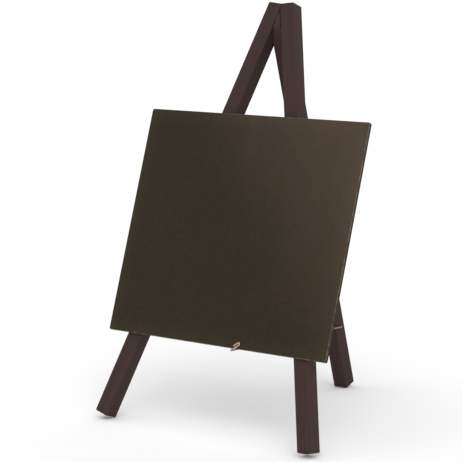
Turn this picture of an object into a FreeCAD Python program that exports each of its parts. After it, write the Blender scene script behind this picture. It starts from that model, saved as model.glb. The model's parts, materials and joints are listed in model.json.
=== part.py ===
import FreeCAD, Part
import math
import os
import Sketcher

# Tabletop chalkboard easel. Two splayed front legs carry a thin chalkboard and lean back. A rear leg
# swings on a pin between their tops, and a bent brass wire on it hooks under the board as a stay.
# X runs across the board, Y from front to back and Z up. The origin is on the ground, in the middle
# of the easel's length and width. Lengths are in millimetres and angles in degrees.

doc = FreeCAD.newDocument("tabletop_easel")
sheet = doc.addObject("Spreadsheet::Sheet", "Sizes")
driving_sizes = (
    # Chalkboard: a thin painted panel, its lower edge measured up the slope of the legs.
    ("board_wide", "210"),
    ("board_tall", "184"),
    ("board_thick", "3"),
    ("board_corner", "1.6"),
    ("board_arris", "0.5"),
    ("board_rise", "73.3"),
    # Legs: square sticks with eased edges, the front pair mitred where the tops meet.
    ("leg_side", "12.7"),
    ("leg_arris", "0.8"),
    ("leg_long", "355.7"),
    ("top_rise", "2"),
    ("mitre_tall", "4.2"),
    ("lean_angle", "19"),
    ("splay_angle", "15.2"),
    ("rear_angle", "16.8"),
    # Pivot: a steel pin in blind holes of the front legs, with the rear leg turning on it.
    ("pin_dia", "2.4"),
    ("pin_bury", "9"),
    ("pin_depth", "3"),
    ("pin_play", "0.05"),
    ("pin_seat", "0.02"),
    ("rear_pin_depth", "2.6"),
    # Head of the rear leg: its width where its front is first cut flush, its tip and its clearance.
    ("head_wide", "8"),
    ("head_tip", "0.8"),
    ("head_room", "0.4"),
    # Stay: brass wire through the rear leg, riveted over at one end and hooked at the other.
    ("wire_dia", "1.4"),
    ("wire_bend", "2"),
    ("wire_room", "0.3"),
    ("stay_below", "13.2"),
    ("stay_stand", "2.2"),
    ("rivet_dia", "3"),
    ("rivet_thick", "0.8"),
    ("hook_across", "18.2"),
    ("hook_reach", "9.8"),
    ("hook_return", "5.8"),
    ("hook_wide", "1.9"),
    ("hook_angle", "54"),
    # How far a cutting shape runs past what it cuts.
    ("overrun", "1"),
)
for row, (alias, number) in enumerate(driving_sizes, start=1):
    sheet.set(f"A{row}", number)
    sheet.setAlias(f"A{row}", alias)
doc.recompute()
size = {alias: float(sheet.get(alias)) for alias, number in driving_sizes}
X_AXIS = FreeCAD.Vector(1, 0, 0)
Y_AXIS = FreeCAD.Vector(0, 1, 0)

lean = math.radians(size["lean_angle"])
splay = math.radians(size["splay_angle"])
rear = math.radians(size["rear_angle"])
opening = lean + rear
leg = size["leg_side"]
arris = size["leg_arris"]

# The front legs' centre lines meet above their tops. The inner back corner of each foot is on the ground.
meeting_to_mitre = leg / 2 / math.tan(splay)
meeting_to_foot = meeting_to_mitre - size["mitre_tall"] + size["top_rise"] + size["leg_long"]
foot_inward_drop = math.sin(splay) * math.cos(lean)
foot_backward_drop = math.sin(lean)
foot_drop = (foot_inward_drop * (leg / 2 - arris) + foot_backward_drop * (leg - arris)
             + arris * math.hypot(foot_inward_drop, foot_backward_drop))
meeting_rise = meeting_to_foot * math.cos(splay) + foot_drop / math.cos(lean)

# The front legs' inner sides part at the crotch. The rear leg's front face comes flush with theirs below it,
# and the pin lies just behind that face.
crotch_rise = meeting_rise - leg / 2 / math.sin(splay)
flush_rise = crotch_rise - size["head_wide"] / 2 / math.tan(splay)
pin_below_flush = (size["pin_depth"] - size["rear_pin_depth"] / math.cos(opening)) / math.tan(opening)
pin_rise = flush_rise - pin_below_flush
pin_half_gap = (crotch_rise - pin_rise) * math.tan(splay)
pin_y = pin_rise * math.sin(lean) + size["pin_depth"] * math.cos(lean)
pin_z = pin_rise * math.cos(lean) - size["pin_depth"] * math.sin(lean)

# The rear leg stands on the front edge of its square foot.
foot_to_pin = (pin_z - size["rear_pin_depth"] * math.sin(rear)) / math.cos(rear)
rear_foot_y = pin_y + foot_to_pin * math.sin(rear) - size["rear_pin_depth"] * math.cos(rear)

# Foremost and rearmost points of the feet, which set the middle of the easel's length.
corner_rise = meeting_rise - meeting_to_foot * math.cos(splay) - (leg / 2 - arris) * math.sin(splay)
front_y = (corner_rise * math.sin(lean) + arris * math.cos(lean)
           - arris * math.hypot(math.cos(lean), math.sin(splay) * math.sin(lean)))
back_y = rear_foot_y + leg * math.cos(rear)
middle_shift = FreeCAD.Vector(0, (front_y + back_y) / 2, 0)

front_turn = FreeCAD.Rotation(X_AXIS, -size["lean_angle"])
rear_turn = FreeCAD.Rotation(X_AXIS, size["rear_angle"])


def on_front(across, rise, behind):
    """A point of the front frame: across it, up its slope, and behind the front faces of the legs."""
    return front_turn.multVec(FreeCAD.Vector(across, behind, rise)) - middle_shift


def on_rear(across, rise, behind):
    """A point of the rear leg: across it, up it from its foot, and behind its front face."""
    foot = FreeCAD.Vector(0, rear_foot_y, 0) - middle_shift
    return foot + rear_turn.multVec(FreeCAD.Vector(across, behind, rise))


def origin_plane(body, role):
    """One of a body's own origin planes."""
    return next(plane for plane in body.Origin.OriginFeatures if plane.Role == role)


def outline_sketch(body, points):
    """A closed outline in the body's front plane, its first edge on the ground line and centred across."""
    sketch = body.newObject("Sketcher::SketchObject", body.Name + "_outline")
    sketch.AttachmentSupport = [(origin_plane(body, "XZ_Plane"), "")]
    sketch.MapMode = "FlatFace"
    corners = [FreeCAD.Vector(across, rise, 0) for across, rise in points]
    for start, end in zip(corners, corners[1:] + corners[:1]):
        sketch.addGeometry(Part.LineSegment(start, end))
    for edge in range(len(corners)):
        sketch.addConstraint(Sketcher.Constraint("Coincident", edge, 2, (edge + 1) % len(corners), 1))
    sketch.addConstraint(Sketcher.Constraint("PointOnObject", 0, 1, -1))
    sketch.addConstraint(Sketcher.Constraint("Symmetric", 0, 1, 0, 2, -2))
    return sketch


def bind(sketch, name, expression, constraint):
    """Adds a named constraint and ties it to the sheet."""
    index = sketch.addConstraint(constraint)
    sketch.renameConstraint(index, name)
    sketch.setExpression("Constraints." + name, expression)


def pad(body, sketch, expression, backward):
    """Thickens an outline, backward or forward from the body's front plane."""
    slab = body.newObject("PartDesign::Pad", body.Name + "_slab")
    slab.Profile = sketch
    slab.setExpression("Length", expression)
    slab.Reversed = backward
    doc.recompute()
    return slab


def ease(body, slab, edges, expression):
    """Rounds the chosen edges of a slab."""
    rounding = body.newObject("PartDesign::Fillet", body.Name + "_rounding")
    rounding.Base = (slab, edges)
    rounding.setExpression("Radius", expression)
    doc.recompute()
    return rounding


def edges_along(slab, axis):
    """Names of the straight edges of a slab that run along an axis."""
    names = []
    for number, edge in enumerate(slab.Shape.Edges, start=1):
        along = edge.Vertexes[-1].Point - edge.Vertexes[0].Point
        if along.cross(axis).Length < edge.Length * Part.Precision.angular():
            names.append(f"Edge{number}")
    return names


def pierced(name, base, tools):
    """A piece with round holes through it."""
    for number, tool in enumerate(tools, start=1):
        cut = doc.addObject("Part::Cut", f"{name}_hole_{number}")
        cut.Base = base
        cut.Tool = tool
        base = cut
    return base


def rod(name, radius, length, start):
    """A round rod along X from a point."""
    bar = doc.addObject("Part::Cylinder", name)
    bar.setExpression("Radius", radius)
    bar.setExpression("Height", length)
    bar.Placement = FreeCAD.Placement(start, FreeCAD.Rotation(Y_AXIS, 90))
    return bar


# The wire's hole through the rear leg is lower than the board's lower edge, and halfway through the leg.
stay_height = size["board_rise"] * math.cos(lean) - size["stay_below"]
stay_up = (stay_height - leg / 2 * math.sin(rear)) / math.cos(rear)

pieces = {}

# Pivot pin, centred between the front legs.
pin_long = (
    "2 * Sizes.pin_bury + Sizes.head_wide"
    " + 2 * (Sizes.pin_depth - Sizes.rear_pin_depth / cos(Sizes.lean_angle + Sizes.rear_angle))"
    " * tan(Sizes.splay_angle) / tan(Sizes.lean_angle + Sizes.rear_angle)"
)
pin_left_end = on_front(-pin_half_gap - size["pin_bury"], pin_rise, size["pin_depth"])
pieces["pivot_pin"] = rod("pivot_pin", "Sizes.pin_dia / 2", pin_long, pin_left_end)

# Left front leg: foot, inner side, mitre, top and outer side in one outline, then the pin's blind hole.
left_body = doc.addObject("PartDesign::Body", "leg_front_left_stick")
mitre_rise = size["leg_long"] + size["top_rise"] - size["mitre_tall"]
top_slope = size["top_rise"] / leg
top_wide = leg - size["mitre_tall"] * math.tan(splay) / (1 + top_slope * math.tan(splay))
left_sketch = outline_sketch(left_body, (
    (-leg / 2, 0),
    (leg / 2, 0),
    (leg / 2, mitre_rise),
    (top_wide - leg / 2, size["leg_long"] + top_wide * top_slope),
    (-leg / 2, size["leg_long"]),
))
left_sketch.addConstraint(Sketcher.Constraint("Vertical", 1))
left_sketch.addConstraint(Sketcher.Constraint("Vertical", 4))
bind(left_sketch, "side", "Sizes.leg_side", Sketcher.Constraint("DistanceX", 0, 1, 0, 2, leg))
bind(left_sketch, "inner", "Sizes.leg_long + Sizes.top_rise - Sizes.mitre_tall",
     Sketcher.Constraint("DistanceY", 1, 1, 1, 2, mitre_rise))
bind(left_sketch, "outer", "Sizes.leg_long",
     Sketcher.Constraint("DistanceY", 4, 2, 4, 1, size["leg_long"]))
bind(left_sketch, "top_across",
     "Sizes.leg_side - Sizes.mitre_tall * tan(Sizes.splay_angle)"
     " / (1 + Sizes.top_rise / Sizes.leg_side * tan(Sizes.splay_angle))",
     Sketcher.Constraint("DistanceX", 3, 2, 3, 1, top_wide))
bind(left_sketch, "top_slant", "Constraints.top_across * Sizes.top_rise / Sizes.leg_side",
     Sketcher.Constraint("DistanceY", 3, 2, 3, 1, top_wide * top_slope))
left_slab = pad(left_body, left_sketch, "Sizes.leg_side", True)
ease(left_body, left_slab, edges_along(left_slab, FreeCAD.Vector(0, 0, 1)), "Sizes.leg_arris")
left_body.Placement = FreeCAD.Placement(
    on_front(-meeting_to_foot * math.sin(splay), meeting_rise - meeting_to_foot * math.cos(splay), 0),
    front_turn.multiply(FreeCAD.Rotation(Y_AXIS, size["splay_angle"])))
pin_socket = rod("pin_socket", "Sizes.pin_dia / 2 + Sizes.pin_seat", pin_long, pin_left_end)
pieces["leg_front_left"] = pierced("leg_front_left", left_body, [pin_socket])

# Right front leg, the mirror image of the left one.
right_leg = doc.addObject("Part::Mirroring", "leg_front_right")
right_leg.Source = pieces["leg_front_left"]
right_leg.Normal = X_AXIS
pieces["leg_front_right"] = right_leg

# Chalkboard, with rounded corners and an eased front edge, lying on the front faces of the legs.
board_body = doc.addObject("PartDesign::Body", "chalkboard")
board_sketch = outline_sketch(board_body, (
    (-size["board_wide"] / 2, 0),
    (size["board_wide"] / 2, 0),
    (size["board_wide"] / 2, size["board_tall"]),
    (-size["board_wide"] / 2, size["board_tall"]),
))
board_sketch.addConstraint(Sketcher.Constraint("Vertical", 1))
board_sketch.addConstraint(Sketcher.Constraint("Horizontal", 2))
board_sketch.addConstraint(Sketcher.Constraint("Vertical", 3))
bind(board_sketch, "wide", "Sizes.board_wide",
     Sketcher.Constraint("DistanceX", 0, 1, 0, 2, size["board_wide"]))
bind(board_sketch, "tall", "Sizes.board_tall",
     Sketcher.Constraint("DistanceY", 1, 1, 1, 2, size["board_tall"]))
board_slab = pad(board_body, board_sketch, "Sizes.board_thick", False)
board_rounded = ease(board_body, board_slab, edges_along(board_slab, Y_AXIS), "Sizes.board_corner")
board_faces = board_rounded.Shape.Faces
front_face = min(range(len(board_faces)), key=lambda n: board_faces[n].CenterOfMass.y)
board_bevel = board_body.newObject("PartDesign::Chamfer", "chalkboard_bevel")
board_bevel.Base = (board_rounded, [f"Face{front_face + 1}"])
board_bevel.setExpression("Size", "Sizes.board_arris")
board_body.Placement = FreeCAD.Placement(on_front(0, size["board_rise"], 0), front_turn)
pieces["chalkboard"] = board_body

# Rear leg: a stick whose head is a wedge that fills the gap between the front legs. The head is pared on
# both sides to clear them with the easel folded and with it open, and it is cut flush with their fronts.


def pared_slab(body, wide, deep, half_wide, gap_end):
    """A slab that narrows to the head's tip beside the front legs' inner sides, which meet at gap_end."""
    shoulder = gap_end - (half_wide + size["head_room"]) / math.tan(splay)
    half_tip = size["head_tip"] / 2
    tip = gap_end - (half_tip + size["head_room"]) / math.tan(splay)
    sketch = outline_sketch(body, (
        (-half_wide, 0),
        (half_wide, 0),
        (half_wide, shoulder),
        (half_tip, tip),
        (-half_tip, tip),
        (-half_wide, shoulder),
    ))
    sketch.addConstraint(Sketcher.Constraint("Vertical", 1))
    sketch.addConstraint(Sketcher.Constraint("Vertical", 5))
    sketch.addConstraint(Sketcher.Constraint("Equal", 1, 5))
    sketch.addConstraint(Sketcher.Constraint("Symmetric", 3, 1, 3, 2, -2))
    bind(sketch, "wide", wide, Sketcher.Constraint("DistanceX", 0, 1, 0, 2, 2 * half_wide))
    bind(sketch, "tip_wide", "Sizes.head_tip", Sketcher.Constraint("DistanceX", 3, 2, 3, 1, 2 * half_tip))
    sketch.addConstraint(Sketcher.Constraint("DistanceY", 1, 1, 1, 2, shoulder))
    sketch.addConstraint(Sketcher.Constraint("DistanceY", 1, 1, 3, 1, tip))
    return pad(body, sketch, deep, True)


rear_body = doc.addObject("PartDesign::Body", "leg_rear_stick")
rear_slab = pared_slab(rear_body, "Sizes.leg_side", "Sizes.leg_side", leg / 2,
                       foot_to_pin + crotch_rise - pin_rise)
ease(rear_body, rear_slab, edges_along(rear_slab, FreeCAD.Vector(0, 0, 1)), "Sizes.leg_arris")
rear_body.Placement = FreeCAD.Placement(on_rear(0, 0, 0), rear_turn)
room_body = doc.addObject("PartDesign::Body", "leg_rear_room")
pared_slab(room_body, "Sizes.leg_side + 2 * Sizes.overrun", "Sizes.leg_long",
           leg / 2 + size["overrun"], crotch_rise)
room_body.Placement = FreeCAD.Placement(on_front(0, 0, 0), front_turn)
rear_stick = doc.addObject("Part::Common", "leg_rear_wedge")
rear_stick.Base = rear_body
rear_stick.Tool = room_body
hole_long = "Sizes.leg_side + 2 * Sizes.overrun"
hole_start = -leg / 2 - size["overrun"]
pin_hole = rod("pin_hole", "Sizes.pin_dia / 2 + Sizes.pin_play", hole_long,
               on_rear(hole_start, foot_to_pin, size["rear_pin_depth"]))
wire_hole = rod("wire_hole", "Sizes.wire_dia / 2 + Sizes.pin_play", hole_long,
                on_rear(hole_start, stay_up, leg / 2))
pieces["leg_rear"] = pierced("leg_rear", rear_stick, [pin_hole, wire_hole])

# Stay: the wire's route from its riveted end through the rear leg, forward under the board's lower
# edge, up in front of the board at a slant, and doubled back on itself.
wire_radius = size["wire_dia"] / 2
wire_off = wire_radius + size["wire_room"]
rivet_start = on_rear(-leg / 2 - size["wire_room"] - size["rivet_thick"], stay_up, leg / 2)
stay_corner = on_rear(leg / 2 + size["stay_stand"], stay_up, leg / 2)
corner_in_front = front_turn.inverted().multVec(stay_corner + middle_shift)
to_edge = math.hypot(corner_in_front.y, corner_in_front.z - size["board_rise"])
dip = math.atan2(corner_in_front.z - size["board_rise"], corner_in_front.y) + math.asin(wire_off / to_edge)
hook_behind = -size["board_thick"] - wire_off
hook_rise = corner_in_front.z - (corner_in_front.y - hook_behind) * math.tan(dip)
hook = math.radians(size["hook_angle"])


def on_hook(along, aside):
    """A point of the hook: along its slanting arm from the bend under the board, and aside from the arm."""
    return on_front(size["hook_across"] + along * math.sin(hook) - aside * math.cos(hook),
                    hook_rise + along * math.cos(hook) + aside * math.sin(hook), hook_behind)


def bent_wire(points, radii):
    """A path of straight runs, with an arc of the given radius at each inner point."""
    edges = []
    run_start = points[0]
    for before, corner, after, radius in zip(points, points[1:], points[2:], radii):
        back = (before - corner).normalize()
        ahead = (after - corner).normalize()
        half_turn = (math.pi - back.getAngle(ahead)) / 2
        middle = (back + ahead).normalize()
        arc_start = corner + back * (radius * math.tan(half_turn))
        arc_end = corner + ahead * (radius * math.tan(half_turn))
        arc_middle = corner + middle * (radius / math.cos(half_turn) - radius)
        if (arc_start - run_start).Length > Part.Precision.confusion():
            edges.append(Part.LineSegment(run_start, arc_start).toShape())
        edges.append(Part.Arc(arc_start, arc_middle, arc_end).toShape())
        run_start = arc_end
    edges.append(Part.LineSegment(run_start, points[-1]).toShape())
    return Part.Wire(edges)


arm_long = size["hook_reach"]
wire_points = [
    rivet_start,
    stay_corner,
    on_hook(0, 0),
    on_hook(arm_long, 0),
    on_hook(arm_long, size["hook_wide"]),
    on_hook(arm_long - size["hook_return"], size["hook_wide"]),
]
wire_radii = [size["wire_bend"], size["wire_bend"], size["hook_wide"] / 2, size["hook_wide"] / 2]
wire_path = doc.addObject("Part::Feature", "stay_path")
wire_path.Shape = bent_wire(wire_points, wire_radii)
wire_section = doc.addObject("Part::Circle", "stay_section")
wire_section.setExpression("Radius", "Sizes.wire_dia / 2")
wire_section.Placement = FreeCAD.Placement(rivet_start, FreeCAD.Rotation(Y_AXIS, 90))
wire_sweep = doc.addObject("Part::Sweep", "stay_wire")
wire_sweep.Sections = [wire_section]
wire_sweep.Spine = (wire_path, [f"Edge{number + 1}" for number in range(len(wire_path.Shape.Edges))])
wire_sweep.Solid = True
rivet = rod("stay_rivet", "Sizes.rivet_dia / 2", "Sizes.rivet_thick", rivet_start)
stay = doc.addObject("Part::Fuse", "stay_hook")
stay.Base = wire_sweep
stay.Tool = rivet
stay.Refine = True
pieces["stay_hook"] = stay

doc.recompute()
for item in doc.Objects:
    if "Invalid" in item.State or "Error" in item.State:
        raise RuntimeError(f"{item.Name} failed: {item.State}")
for name, piece in pieces.items():
    piece.Label = name
    if piece.Shape.isNull() or not piece.Shape.isValid() or len(piece.Shape.Solids) != 1:
        raise RuntimeError(f"{name} is not one sound solid")

os.makedirs("parts", exist_ok=True)
for name, piece in pieces.items():
    piece.Shape.exportStep(f"parts/{name}.step")
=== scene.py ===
import json
import math
import bpy
import numpy as np
from mathutils import Matrix, Vector


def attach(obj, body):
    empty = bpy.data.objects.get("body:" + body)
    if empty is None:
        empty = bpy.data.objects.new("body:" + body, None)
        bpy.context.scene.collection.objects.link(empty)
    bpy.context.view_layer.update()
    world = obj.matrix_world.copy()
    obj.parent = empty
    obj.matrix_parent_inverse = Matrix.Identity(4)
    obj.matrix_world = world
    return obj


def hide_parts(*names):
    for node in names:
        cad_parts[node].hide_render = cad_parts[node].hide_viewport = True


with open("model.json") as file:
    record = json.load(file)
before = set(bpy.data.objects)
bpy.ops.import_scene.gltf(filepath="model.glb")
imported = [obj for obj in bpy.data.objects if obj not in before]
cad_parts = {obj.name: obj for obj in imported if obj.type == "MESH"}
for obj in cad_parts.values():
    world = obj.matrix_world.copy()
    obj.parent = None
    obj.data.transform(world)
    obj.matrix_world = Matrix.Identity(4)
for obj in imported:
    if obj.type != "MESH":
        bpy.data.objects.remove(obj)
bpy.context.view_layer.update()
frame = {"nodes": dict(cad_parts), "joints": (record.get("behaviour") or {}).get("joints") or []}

# Front legs: two square hardwood sticks, sanded, stained plum brown and lacquered to a satin finish.
# They lean back, splay apart and meet in a small mitre at the top. All long edges and ends are eased.
LEG = 0.0127
LEG_LONG = 0.3557
LEG_ARRIS = 0.0008
END_EASE = 0.0009
TOP_RISE = 0.002
MITRE_TALL = 0.0042
PIN_DEPTH = 0.003
LEAN = math.radians(19)
SPLAY = math.radians(15.2)
PLUM = (0.0560, 0.0350, 0.0330, 1.0)
PLUM_DEEP = (0.0470, 0.0285, 0.0270, 1.0)
PLUM_WORN = (0.105, 0.068, 0.055, 1.0)
WEAR = 0.55
WOOD_ROUGH = 0.42
WOOD_SHEEN = 0.04
PORE_DEPTH = 0.00022
CAP_INSETS = (0.002, 0.0045)
LEAST_ARRIS_SHARE = 0.1
ARC_STEPS = 6
FLAT_STEPS = 24
EASE_STEPS = 5
SIDE_STEPS = 60
HEAD_STEPS = 30
HEAD_SHARE = 0.94

meeting_to_foot = LEG / 2 / math.tan(SPLAY) - MITRE_TALL + TOP_RISE + LEG_LONG
foot_slope = (math.sin(SPLAY) * math.cos(LEAN), math.sin(LEAN))
foot_drop = (foot_slope[0] * (LEG / 2 - LEG_ARRIS) + foot_slope[1] * (LEG - LEG_ARRIS)
             + LEG_ARRIS * math.hypot(*foot_slope))
meeting_rise = meeting_to_foot * math.cos(SPLAY) + foot_drop / math.cos(LEAN)


def turn(axis, angle):
    """Matrix that turns points about X, Y or Z by the right-hand rule."""
    c, s = math.cos(angle), math.sin(angle)
    return np.array({
        "X": ((1, 0, 0), (0, c, -s), (0, s, c)),
        "Y": ((c, 0, s), (0, 1, 0), (-s, 0, c)),
        "Z": ((c, -s, 0), (s, c, 0), (0, 0, 1)),
    }[axis])


def rounded_outline(arc_steps, flat_steps):
    """Outline of a rounded rectangle: places, outward directions, and a mark that rises to 1 in each corner.

    A point is place * (half size - radius) + direction * radius. Round a corner the direction sweeps a
    quarter turn. Along a flat the direction stays and the place slides to the next corner.
    """
    sweep = np.linspace(0, math.pi / 2, arc_steps + 1)
    slide = np.linspace(0, 1, flat_steps + 1)[1:-1]
    slide = 0.5 - 0.5 * np.cos(math.pi * slide)
    quarter = np.arange(4)[:, None] * math.pi / 2
    angle = np.concatenate((quarter + sweep, np.repeat(quarter + math.pi / 2, len(slide), 1)), 1)
    here = np.sign(np.stack((np.cos(quarter + math.pi / 4), np.sin(quarter + math.pi / 4)), -1))
    after = np.roll(here, -1, 0)
    on_flat = here + (after - here) * slide[None, :, None]
    place = np.concatenate((np.repeat(here, len(sweep), 1), on_flat), 1)
    mark = np.concatenate((np.repeat(np.sin(2 * sweep)[None], 4, 0), np.zeros(on_flat.shape[:2])), 1)
    direction = np.stack((np.cos(angle), np.sin(angle)), -1)
    return place.reshape(-1, 2), direction.reshape(-1, 2), mark.reshape(-1)


def skin(name, rings, tips, body, stands_for):
    """Closed mesh through a grid of rings, each end closed by a fan to its tip, riding on a body."""
    count, around = rings.shape[:2]
    cell = np.arange((count - 1) * around).reshape(count - 1, around)
    quads = np.stack((cell, np.roll(cell, -1, 1), np.roll(cell, -1, 1) + around, cell + around), -1)
    first = np.arange(around)
    last = first + (count - 1) * around
    low, high = count * around, count * around + 1
    fans = np.concatenate((
        np.stack((np.roll(first, -1), first, np.full(around, low)), -1),
        np.stack((last, np.roll(last, -1), np.full(around, high)), -1)))
    points = np.concatenate((rings.reshape(-1, 3), tips))
    mesh = bpy.data.meshes.new(name)
    mesh.from_pydata(points.tolist(), [], quads.reshape(-1, 4).tolist() + fans.tolist())
    mesh.shade_smooth()
    piece = bpy.data.objects.new(name, mesh)
    bpy.context.scene.collection.objects.link(piece)
    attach(piece, body)
    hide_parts(stands_for)
    return piece


def mark_points(piece, name, kind, values):
    """Stores one number or vector for each point of a piece, for its material to read."""
    layer = piece.data.attributes.new(name, kind, "POINT")
    layer.data.foreach_set("value" if kind == "FLOAT" else "vector", np.asarray(values, np.float32).ravel())


def stick(name, top_of, half_of, matrix, foot, body, stands_for):
    """Square stick: a rounded square carried up from the foot.

    top_of gives the top's height at a place across and behind the stick's front, and half_of its half width
    at a height and depth. At both ends the outline draws in along a quarter circle, and then runs flat to the
    middle.
    """
    place, direction, mark = rounded_outline(ARC_STEPS, FLAT_STEPS)
    bend = np.linspace(0, math.pi / 2, EASE_STEPS + 1)
    inset = np.concatenate((END_EASE * (1 - np.cos(bend)), CAP_INSETS))
    sunk = np.concatenate((END_EASE * (1 - np.sin(bend)), np.zeros(len(CAP_INSETS))))
    below_head = np.linspace(0, HEAD_SHARE, SIDE_STEPS)[1:]
    share = np.concatenate((below_head, np.linspace(HEAD_SHARE, 1, HEAD_STEPS)[1:-1]))
    all_inset = np.concatenate((inset[::-1], np.zeros(len(share)), inset))[:, None, None]
    all_share = np.concatenate((np.zeros(len(inset)), share, np.ones(len(inset))))[:, None]
    all_sunk = np.concatenate((sunk[::-1], np.zeros(len(share)), -sunk))[:, None]
    radius = np.maximum(LEG_ARRIS - all_inset, LEG_ARRIS * LEAST_ARRIS_SHARE)
    across = place * (LEG / 2 - all_inset - radius) + direction * radius
    lift = np.where((all_share > 0) & (all_share < 1), END_EASE * (1 - 2 * all_share), 0)
    behind = across[..., 1] + LEG / 2
    rise = all_share * top_of(across[..., 0], behind) + all_sunk + lift
    local = np.stack((across[..., 0] * half_of(rise, behind) / (LEG / 2), behind, rise), -1)
    tips = np.array(((0, LEG / 2, 0), (0, LEG / 2, float(top_of(np.zeros(1), np.full(1, LEG / 2))[0]))))
    piece = skin(name, local @ matrix.T + foot, tips @ matrix.T + foot, body, stands_for)
    on_end = (all_inset[..., 0] > 0) & (all_inset[..., 0] < END_EASE)
    worn = np.maximum(np.broadcast_to(mark, rise.shape), on_end)
    mark_points(piece, "stick_place", "FLOAT_VECTOR", np.concatenate((local.reshape(-1, 3), tips)))
    mark_points(piece, "arris", "FLOAT", np.concatenate((worn.ravel(), np.zeros(2))))
    return piece


class Shade:
    """One output of a shader node. Arithmetic adds Math nodes, and node() adds a node of any other type."""

    def __init__(self, tree, socket=None):
        self.tree = tree
        self.socket = socket

    def node(self, kind, settings, inputs, output=0):
        """Adds a node, makes its settings, then sets or links its inputs, and gives one of its outputs."""
        made = self.tree.nodes.new(kind)
        for key, value in settings.items():
            setattr(made, key, value)
        for key, value in inputs.items():
            if isinstance(value, Shade):
                self.tree.links.new(value.socket, made.inputs[key])
            else:
                made.inputs[key].default_value = value
        return Shade(self.tree, made.outputs[output] if made.outputs else None)

    def math(self, operation, first, second):
        """A Math node on two values."""
        return self.node("ShaderNodeMath", {"operation": operation}, {0: first, 1: second})

    def __add__(self, other):
        return self.math("ADD", self, other)

    def __sub__(self, other):
        return self.math("SUBTRACT", self, other)

    def __rsub__(self, other):
        return self.math("SUBTRACT", other, self)

    def __mul__(self, other):
        return self.math("MULTIPLY", self, other)

    def __abs__(self):
        return self.math("ABSOLUTE", self, 0.0)

    __radd__ = __add__
    __rmul__ = __mul__

    def between(self, low, high):
        """0 up to low and 1 from high, with a soft rise between."""
        return self.node("ShaderNodeMapRange", {"interpolation_type": "SMOOTHSTEP"},
                         {"Value": self, "From Min": low, "From Max": high})

    def mix(self, first, second):
        """A colour that goes from the first to the second as this value goes from 0 to 1.

        A Mix node has sockets for each type of data. Those for colours are inputs 6 and 7 and output 2.
        """
        return self.node("ShaderNodeMix", {"data_type": "RGBA"}, {0: self, 6: first, 7: second}, 2)

    def stretched(self, scale):
        """A place with its three parts multiplied."""
        return self.node("ShaderNodeVectorMath", {"operation": "MULTIPLY"}, {0: self, 1: scale})

    def noise(self, scale, detail, roughness=0.5):
        """Smooth noise from 0 to 1 at this place, with about scale lumps in a metre."""
        return self.node("ShaderNodeTexNoise", {},
                         {"Vector": self, "Scale": scale, "Detail": detail, "Roughness": roughness})


def new_finish(name):
    """An empty material, and its first shade."""
    material = bpy.data.materials.new(name)
    material.use_nodes = True
    material.node_tree.nodes.clear()
    return material, Shade(material.node_tree)


def close_finish(start, principled, bump_height, bump_distance, bump_strength):
    """Ends a material with a bump and a Principled shader."""
    normal = start.node("ShaderNodeBump", {}, {
        "Height": bump_height, "Distance": bump_distance, "Strength": bump_strength})
    shader = start.node("ShaderNodeBsdfPrincipled", {}, {**principled, "Normal": normal})
    start.node("ShaderNodeOutputMaterial", {}, {"Surface": shader})


def dress(piece, material):
    """Gives a piece one material in all its slots."""
    if not piece.data.materials:
        piece.data.materials.append(material)
    for place in piece.material_slots:
        place.material = material


wood, start = new_finish("plum_lacquered_wood")
at = start.node("ShaderNodeAttribute", {"attribute_name": "stick_place"}, {}, "Vector")
arris = start.node("ShaderNodeAttribute", {"attribute_name": "arris"}, {}, "Fac")
bands = at.stretched((1, 1, 0.035)).noise(420, 3, 0.6)
pores = at.stretched((1, 1, 0.02)).noise(2600, 2, 0.6)
brushing = at.stretched((1, 1, 0.1)).noise(900, 2)
nicks = at.noise(520, 3, 0.65)
stain = bands.between(0.3, 0.72).mix(PLUM_DEEP, PLUM)
rubbed = arris * nicks.between(0.5, 0.78) * WEAR
close_finish(start, {
    "Base Color": rubbed.mix(stain, PLUM_WORN),
    "Roughness": WOOD_ROUGH + brushing * 0.16 + pores * 0.06,
    "Specular IOR Level": WOOD_SHEEN,
}, pores * 0.6 + brushing * 0.25 + bands * 0.4 + nicks * 0.2, PORE_DEPTH, bump_strength=0.5)


def front_leg_top(inner):
    """Height of a front leg's top: a plane that rises to the inner side, under the plane of the mitre."""
    def height(across, behind):
        toward = across * inner
        skewed = LEG_LONG + (toward + LEG / 2) * TOP_RISE / LEG
        mitred = LEG_LONG + TOP_RISE - MITRE_TALL + (LEG / 2 - toward) / math.tan(SPLAY)
        return np.minimum(skewed, mitred)
    return height


def full_width(rise, behind):
    """Half the width of a stick that stays square."""
    return np.full_like(rise, LEG / 2)


lean_turn = turn("X", -LEAN)
pivots = {joint["name"]: np.array(joint["pos_m"]) for joint in frame["joints"]}
pin = pivots["rear_leg_fold"]
pin_rise = (pin[2] + PIN_DEPTH * math.sin(LEAN)) / math.cos(LEAN)
front_origin = pin - lean_turn @ (0, PIN_DEPTH, pin_rise)
for side, inner in (("left", 1), ("right", -1)):
    foot_place = (-inner * meeting_to_foot * math.sin(SPLAY), 0,
                  meeting_rise - meeting_to_foot * math.cos(SPLAY))
    leg = stick(f"front_leg_{side}", front_leg_top(inner), full_width, lean_turn @ turn("Y", inner * SPLAY),
                front_origin + lean_turn @ foot_place, "front_frame", f"leg_front_{side}")
    dress(leg, wood)

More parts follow.
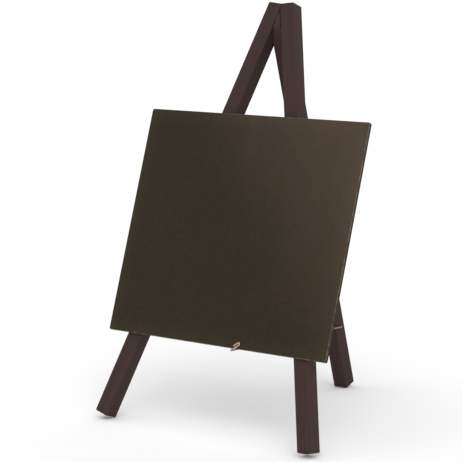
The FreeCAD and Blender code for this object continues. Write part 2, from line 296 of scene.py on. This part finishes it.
# Chalkboard: a 3 mm hardboard panel with a sprayed olive-black writing coat that has a fine pebbled grain.
# It is cut with small round corners, its front edge is sanded round, and it is glued to both front legs.
# The coat is painted lighter toward the upper right in soft vertical streaks, a painted sheen where light
# would fall on it. Chalk dust lies along the rim and in fine specks, and one lighter vertical stroke lies
# near the top.
# Its rounded front edge is coloured lighter: bare hardboard in worn patches, and a painted highlight along
# it.
BOARD_WIDE = 0.210
BOARD_TALL = 0.184
BOARD_THICK = 0.003
BOARD_CORNER = 0.0016
BOARD_RISE = 0.0733
FRONT_EASE = 0.0007
BACK_EASE = 0.0003
OLIVE = (0.0185, 0.0162, 0.0055, 1.0)
UMBER = (0.0225, 0.0167, 0.0070, 1.0)
# HAZE is the light brown of both the painted sheen and the chalk dust.
HAZE = (0.066, 0.0465, 0.0315, 1.0)
BARE_EDGE_AND_HIGHLIGHT = (0.200, 0.160, 0.125, 1.0)
HAZE_TILT = 0.7
HAZE_FROM = 0.28
HAZE_TO = 1.28
SHEEN_WEIGHT = 0.7
SHEEN_STREAKS = 0.5
RIM = 0.014
RIM_CHALK = 0.16
STROKE_CORE = 0.001
STROKE_HALF = 0.010
STROKE_LOW = 0.20
STROKE_HIGH = 0.25
STROKE_LIGHTENING = 0.15
SPECK_CHALK = 0.07
DUST_CHALK = 0.10
EDGE_WEAR_AND_HIGHLIGHT = 0.9
COAT_ROUGH = 0.42
COAT_SHEEN = 0.12
COAT_GRAIN_DEPTH = 0.00035
CORNER_STEPS = 8
SIDE_POINTS = 24
EDGE_STEPS = 6
FACE_INSETS = (0.0016, 0.004, 0.012, 0.030, 0.060)
LEAST_CORNER_SHARE = 0.1

# The outline is carried from the middle of the back to the middle of the front. It stays flat along each face
# and follows a quarter circle round each edge.
place, direction = rounded_outline(CORNER_STEPS, SIDE_POINTS)[:2]
bend = np.linspace(0, math.pi / 2, EDGE_STEPS + 1)
inward = np.array(FACE_INSETS)
inset = np.concatenate((inward[::-1], (BACK_EASE * (1 - np.cos(bend)))[::-1],
                        FRONT_EASE * (1 - np.cos(bend)), inward))
behind = np.concatenate((np.zeros(len(inward)), -(BACK_EASE * (1 - np.sin(bend)))[::-1],
                         FRONT_EASE * (1 - np.sin(bend)) - BOARD_THICK, np.full(len(inward), -BOARD_THICK)))
edge_mark = np.concatenate((np.zeros(len(inward) + len(bend)), np.sin(2 * bend), np.zeros(len(inward))))
radius = np.maximum(BOARD_CORNER - inset, BOARD_CORNER * LEAST_CORNER_SHARE)[:, None, None]
half = np.array((BOARD_WIDE / 2, BOARD_TALL / 2))
middle_rise = BOARD_RISE + BOARD_TALL / 2
outline = place * (half - inset[:, None, None] - radius) + direction * radius
local = np.stack((outline[..., 0], np.broadcast_to(behind[:, None], outline.shape[:2]),
                  outline[..., 1] + middle_rise), -1)
tips = np.array(((0, 0, middle_rise), (0, -BOARD_THICK, middle_rise)))
panel = skin("chalk_panel", local @ lean_turn.T + front_origin, tips @ lean_turn.T + front_origin,
             "front_frame", "chalkboard")
mark_points(panel, "panel_place", "FLOAT_VECTOR", np.concatenate((local.reshape(-1, 3), tips)))
mark_points(panel, "panel_edge", "FLOAT", np.concatenate((np.repeat(edge_mark, len(place)), np.zeros(2))))

board_paint, start = new_finish("olive_chalkboard_paint")
at = start.node("ShaderNodeAttribute", {"attribute_name": "panel_place"}, {}, "Vector")
edge = start.node("ShaderNodeAttribute", {"attribute_name": "panel_edge"}, {}, "Fac")
clouds = at.noise(22, 4, 0.6)
mottle = at.noise(240, 3, 0.6)
pebbles = start.node("ShaderNodeTexVoronoi", {"feature": "SMOOTH_F1"},
                     {"Vector": at, "Scale": 900, "Smoothness": 0.6})
specks = at.noise(2400, 2, 0.6)
dust = at.noise(480, 2, 0.6)
vertical_streaks = at.stretched((1.0, 1.0, 0.12)).noise(34, 4, 0.6)
across, depth, up = (start.node("ShaderNodeSeparateXYZ", {}, {0: at}, part)
                     for part in ("X", "Y", "Z"))
on_front = 1 - depth.between(-BOARD_THICK, -BOARD_THICK / 2)
# Painted sheen: the coat is painted lighter toward the upper right, in vertical streaks, where light would
# fall on it.
up_right = across * (1 / BOARD_WIDE) + (up - BOARD_RISE) * (HAZE_TILT / BOARD_TALL)
painted_sheen = up_right.between(HAZE_FROM, HAZE_TO)
# One lighter vertical stroke near the top middle of the front.
stroke = (1 - abs(across).between(STROKE_CORE, STROKE_HALF)) * up.between(STROKE_LOW, STROKE_HIGH)
rim = (abs(across).between(BOARD_WIDE / 2 - RIM, BOARD_WIDE / 2)
       + abs(up - middle_rise).between(BOARD_TALL / 2 - RIM, BOARD_TALL / 2))
ground = (clouds * 0.7 + mottle * 0.3).between(0.36, 0.64).mix(OLIVE, UMBER)
# chalk adds the painted sheen to the chalk dust at the rim, in specks and as fine dust, and to the lighter
# stroke.
chalk = on_front * (painted_sheen * (SHEEN_WEIGHT + vertical_streaks * SHEEN_STREAKS) + stroke * STROKE_LIGHTENING
                    + rim * RIM_CHALK + specks.between(0.52, 0.72) * SPECK_CHALK
                    + dust.between(0.38, 0.66) * DUST_CHALK)
# The rounded front edge: bare hardboard where worn, and a painted highlight along the whole edge.
scuffs_and_highlight = edge.between(0.2, 0.8) * mottle.between(0.30, 0.75)
close_finish(start, {
    "Base Color": (scuffs_and_highlight * EDGE_WEAR_AND_HIGHLIGHT).mix(chalk.mix(ground, HAZE), BARE_EDGE_AND_HIGHLIGHT),
    "Roughness": COAT_ROUGH + vertical_streaks * 0.12 + specks * 0.06,
    "Specular IOR Level": COAT_SHEEN,
}, pebbles * 0.7 + specks * 0.35 + mottle * 0.3, COAT_GRAIN_DEPTH, bump_strength=0.6)
dress(panel, board_paint)

# Rear leg: a third stick of the same wood that swings on the pin between the front legs. Its head is a wedge
# that fills the gap between them, pared to clear them open and folded, and cut flush with their fronts.
REAR = math.radians(16.8)
REAR_PIN_DEPTH = 0.0026
HEAD_TIP = 0.0008
HEAD_ROOM = 0.0004
opening = LEAN + REAR
rear_turn = turn("X", REAR)
foot_to_pin = (pin[2] - REAR_PIN_DEPTH * math.sin(REAR)) / math.cos(REAR)
rear_foot = pin - rear_turn @ (0, REAR_PIN_DEPTH, foot_to_pin)
pin_to_crotch = meeting_rise - LEG / 2 / math.sin(SPLAY) - pin_rise
pin_to_tip = pin_to_crotch - (HEAD_TIP / 2 + HEAD_ROOM) / math.tan(SPLAY)


def rear_leg_top(across, behind):
    """Height of the rear leg's top: a cut flush with the front legs, and cuts at the tip, folded and open."""
    flush = ((PIN_DEPTH - REAR_PIN_DEPTH * math.cos(opening)) / math.sin(opening)
             + behind / math.tan(opening))
    opened = (pin_to_tip - (behind - REAR_PIN_DEPTH) * math.sin(opening)) / math.cos(opening)
    return foot_to_pin + np.minimum(np.minimum(flush, opened), pin_to_tip)


def pared_width(rise, behind):
    """Half the width of the rear leg, which narrows beside the front legs' inner sides, folded and open."""
    folded = rise - foot_to_pin
    opened = folded * math.cos(opening) + (behind - REAR_PIN_DEPTH) * math.sin(opening)
    return np.minimum(LEG / 2, (pin_to_crotch - np.maximum(folded, opened)) * math.tan(SPLAY) - HEAD_ROOM)


rear_stick = stick("rear_leg", rear_leg_top, pared_width, rear_turn, rear_foot, "rear_leg", "leg_rear")
dress(rear_stick, wood)

# Pivot pin: a short drawn steel pin glued in the front legs, with the rear leg turning on it. It shows only
# in the narrow gaps beside the rear leg.
STEEL = (0.50, 0.50, 0.51, 1.0)
STEEL_DULL = (0.33, 0.32, 0.32, 1.0)
STEEL_ROUGH = 0.28
STEEL_DRAW_DEPTH = 0.00005
pin_steel, start = new_finish("drawn_steel")
at = start.node("ShaderNodeTexCoord", {}, {}, "Object")
drawn = at.stretched((0.05, 1, 1)).noise(3000, 3)
stained = at.noise(600, 3)
close_finish(start, {
    "Base Color": stained.between(0.4, 0.7).mix(STEEL, STEEL_DULL),
    "Metallic": 1.0,
    "Roughness": STEEL_ROUGH + drawn * 0.2,
}, drawn, STEEL_DRAW_DEPTH, bump_strength=0.3)
dress(frame["nodes"]["pivot_pin"], pin_steel)

# Stay: one brass wire. It is riveted over on one side of the rear leg, runs through it, forward and under the
# board's lower edge, and its end is doubled back into a slanting hook. The brass is coloured darker along the
# run and brighter over the hook end, with random tarnish patches.
WIRE = 0.0007
WIRE_BEND = 0.002
WIRE_ROOM = 0.0003
RIVET = 0.0015
RIVET_THICK = 0.0008
STAY_STAND = 0.0022
HOOK_ACROSS = 0.0182
HOOK_REACH = 0.0098
HOOK_RETURN = 0.0058
HOOK_WIDE = 0.0019
HOOK_SLANT = math.radians(54)
BRASS = (0.50, 0.36, 0.28, 1.0)
BRASS_DARK = (0.16, 0.095, 0.060, 1.0)
BRIGHT_END_LENGTH = 0.022
RUN_DARKENING = 0.75
TARNISH = 0.25
BRASS_ROUGH = 0.2
BRASS_DRAW_DEPTH = 0.00004
BEND_STEPS = 15
DOME_STEPS = 7
TIP_STEPS = 6
POLE_ANGLE = 0.12
WIRE_RINGS = 90
WIRE_SIDES = 20
RIVET_STEP = 0.00003
LENGTH_DIGITS = 7
NEVER_ALONG = (0, 0.45, -0.89)

stay_pivot = pivots["stay_swing"]
stay_corner = stay_pivot + (LEG / 2 + STAY_STAND, 0, 0)
rivet_start = stay_pivot - (LEG / 2 + WIRE_ROOM + RIVET_THICK, 0, 0)
seen = lean_turn.T @ (stay_corner - front_origin)
wire_off = WIRE + WIRE_ROOM
edge_far = math.hypot(seen[1], seen[2] - BOARD_RISE)
dip = math.atan2(seen[2] - BOARD_RISE, seen[1]) + math.asin(wire_off / edge_far)
hook_behind = -BOARD_THICK - wire_off
hook_low = np.array((HOOK_ACROSS, hook_behind, seen[2] - (seen[1] - hook_behind) * math.tan(dip)))
arm = np.array((math.sin(HOOK_SLANT), 0, math.cos(HOOK_SLANT)))
aside = np.array((-math.cos(HOOK_SLANT), 0, math.sin(HOOK_SLANT)))
hook = np.stack((hook_low, hook_low + arm * HOOK_REACH, hook_low + arm * HOOK_REACH + aside * HOOK_WIDE,
                 hook_low + arm * (HOOK_REACH - HOOK_RETURN) + aside * HOOK_WIDE))
corners = np.concatenate((rivet_start[None], stay_corner[None], hook @ lean_turn.T + front_origin))
bends = (WIRE_BEND, WIRE_BEND, HOOK_WIDE / 2, HOOK_WIDE / 2)


def unit(vectors):
    """Vectors scaled to length one."""
    return vectors / np.linalg.norm(vectors, axis=-1, keepdims=True)


def bent_line(corners, bends, steps):
    """Points along straight runs, with each inner corner replaced by an arc that touches both runs.

    An arc's centre is on the line that halves the corner, at the radius over the cosine of half the turn.
    """
    back = unit(corners[:-2] - corners[1:-1])
    ahead = unit(corners[2:] - corners[1:-1])
    half_turn = (math.pi - np.arccos(np.sum(back * ahead, -1))) / 2
    bends = np.asarray(bends)
    centre = corners[1:-1] + unit(back + ahead) * (bends / np.cos(half_turn))[:, None]
    outward = -unit(back + ahead)
    along = unit(ahead - back)
    sweep = np.linspace(-1, 1, steps)[:, None, None] * half_turn[:, None]
    arcs = centre + (outward * np.cos(sweep) + along * np.sin(sweep)) * bends[:, None]
    return np.concatenate((corners[:1], np.swapaxes(arcs, 0, 1).reshape(-1, 3), corners[-1:]))


# A circle is carried along the bent line. Its radius follows a quarter ellipse over the rivet, stays the
# wire's own along the runs, and follows a quarter circle at the tip. No run points along NEVER_ALONG, so the
# spokes square to it never vanish.
line = bent_line(corners, bends, BEND_STEPS)
length_at = np.concatenate(((0,), np.cumsum(np.linalg.norm(np.diff(line, axis=0), axis=1))))
length_at, kept = np.unique(np.round(length_at, LENGTH_DIGITS), return_index=True)
line = line[kept]
total = length_at[-1]
dome = RIVET_THICK * (1 - np.cos(np.linspace(POLE_ANGLE, math.pi / 2, DOME_STEPS)))
tip = total - WIRE * (1 - np.sin(np.linspace(0, math.pi / 2 - POLE_ANGLE, TIP_STEPS)))
plain = np.linspace(0, total, WIRE_RINGS)
at_length = np.unique(np.concatenate((dome, (RIVET_THICK + RIVET_STEP,), length_at[1:-1], plain[1:-1], tip)))
middle_line = np.stack([np.interp(at_length, length_at, line[:, axis]) for axis in range(3)], -1)
domed = RIVET * np.sqrt(np.clip(1 - (1 - at_length / RIVET_THICK) ** 2, 0, 1))
rounded = WIRE * np.sqrt(np.clip(1 - (np.maximum(at_length - total + WIRE, 0) / WIRE) ** 2, 0, 1))
thick = np.where(at_length < RIVET_THICK + RIVET_STEP / 2, domed, rounded)
tangent = unit(np.gradient(middle_line, at_length, axis=0))
sideways = unit(np.cross(tangent, NEVER_ALONG))
over = np.cross(tangent, sideways)
turned = np.linspace(0, 2 * math.pi, WIRE_SIDES, endpoint=False)
spokes = sideways[:, None] * np.cos(turned)[:, None] + over[:, None] * np.sin(turned)[:, None]
rings = middle_line[:, None] + spokes * thick[:, None, None]
wire = skin("wire_stay", rings, np.stack((line[0], line[-1])), "stay", "stay_hook")
drawn_place = np.stack(np.broadcast_arrays(
    WIRE * np.cos(turned), WIRE * np.sin(turned), at_length[:, None]), -1)
mark_points(wire, "wire_place", "FLOAT_VECTOR",
            np.concatenate((drawn_place.reshape(-1, 3), ((0, 0, 0), (0, 0, total)))))

stay_brass, start = new_finish("drawn_brass")
at = start.node("ShaderNodeAttribute", {"attribute_name": "wire_place"}, {}, "Vector")
drawn = at.stretched((1, 1, 0.03)).noise(5000, 2)
tarnish = at.stretched((1, 1, 0.3)).noise(700, 4, 0.6)
along = start.node("ShaderNodeSeparateXYZ", {}, {0: at}, "Z")
# The wire is coloured darker along its run and brighter over the last stretch at the hook.
darker_run = 1 - along.between(total - BRIGHT_END_LENGTH, total - BRIGHT_END_LENGTH / 2)
close_finish(start, {
    "Base Color": (darker_run * RUN_DARKENING + tarnish.between(0.45, 0.75) * TARNISH).mix(BRASS, BRASS_DARK),
    "Metallic": 1.0,
    "Roughness": BRASS_ROUGH + tarnish * 0.2 + drawn * 0.08,
}, drawn, BRASS_DRAW_DEPTH, bump_strength=0.35)
dress(wire, stay_brass)

# Stage: a white floor under an even white surround, which lights all faces alike. A weak and broad sun from
# the right and front gives the floor its soft shadow.
FLOOR = (1.0, 1.0, 1.0, 1.0)
SURROUND = (1.0, 1.0, 1.0, 1.0)
SURROUND_LEVEL = 0.90
SHOWN_LEVEL = 1.0
SUN_LEVEL = 0.62
SUN_FROM = (0.42, -0.50, 0.76)
SUN_WIDE = math.radians(40)
FLOOR_HALF = 30.0
FLOOR_ROUGH = 0.9
FLOOR_GRAIN_DEPTH = 0.0002
floor_points = np.array(((-1, -1, 0), (1, -1, 0), (1, 1, 0), (-1, 1, 0))) * FLOOR_HALF
floor_mesh = bpy.data.meshes.new("floor")
floor_mesh.from_pydata(floor_points.tolist(), [], [(0, 1, 2, 3)])
floor = bpy.data.objects.new("floor", floor_mesh)
bpy.context.scene.collection.objects.link(floor)
floor_paint, start = new_finish("white_floor")
close_finish(start, {"Base Color": FLOOR, "Roughness": FLOOR_ROUGH, "Specular IOR Level": 0.0},
             start.node("ShaderNodeTexCoord", {}, {}, "Object").noise(60, 2), FLOOR_GRAIN_DEPTH,
             bump_strength=0.05)
dress(floor, floor_paint)

world = bpy.data.worlds.new("white_surround")
bpy.context.scene.world = world
world.use_nodes = True
world.node_tree.nodes.clear()
start = Shade(world.node_tree)
camera_ray, glossy_ray, transmission_ray = (start.node("ShaderNodeLightPath", {}, {}, f"Is {kind} Ray")
                                            for kind in ("Camera", "Glossy", "Transmission"))
shown = camera_ray + glossy_ray + transmission_ray
lit = start.node("ShaderNodeBackground", {}, {"Color": SURROUND, "Strength": SURROUND_LEVEL})
white = start.node("ShaderNodeBackground", {}, {"Color": SURROUND, "Strength": SHOWN_LEVEL})
both = start.node("ShaderNodeMixShader", {}, {0: shown, 1: lit, 2: white})
start.node("ShaderNodeOutputWorld", {}, {"Surface": both})

sun = bpy.data.lights.new("soft_sun", "SUN")
sun.energy = SUN_LEVEL
sun.angle = SUN_WIDE
sun_place = bpy.data.objects.new("soft_sun", sun)
sun_place.rotation_euler = Vector(SUN_FROM).to_track_quat("Z", "Y").to_euler()
bpy.context.scene.collection.objects.link(sun_place)

# Camera: a long lens from the right of the front, a little higher than the easel and looking down on it. Its
# place and turn were fitted to the photograph.
CAMERA_AZIMUTH = math.radians(36.627)
CAMERA_ELEVATION = math.radians(9.058)
CAMERA_ROLL = math.radians(-0.339)
CAMERA_FROM = (0.837051, -1.080033, 0.380288)
IMAGE_WIDE = 462
FOCAL_PIXELS = 1826.119
SENSOR_WIDE = 36.0
camera = bpy.data.cameras.new("camera")
camera.sensor_width = SENSOR_WIDE
camera.lens = SENSOR_WIDE * FOCAL_PIXELS / IMAGE_WIDE
camera_place = bpy.data.objects.new("camera", camera)
camera_place.location = Vector(CAMERA_FROM) + Vector((0, float(front_origin[1]), 0))
aim = turn("Z", CAMERA_AZIMUTH) @ turn("X", math.pi / 2 - CAMERA_ELEVATION) @ turn("Z", CAMERA_ROLL)
camera_place.rotation_euler = Matrix(aim.tolist()).to_euler()
bpy.context.scene.collection.objects.link(camera_place)
bpy.context.scene.camera = camera_place
bpy.context.scene.view_settings.view_transform = "Standard"
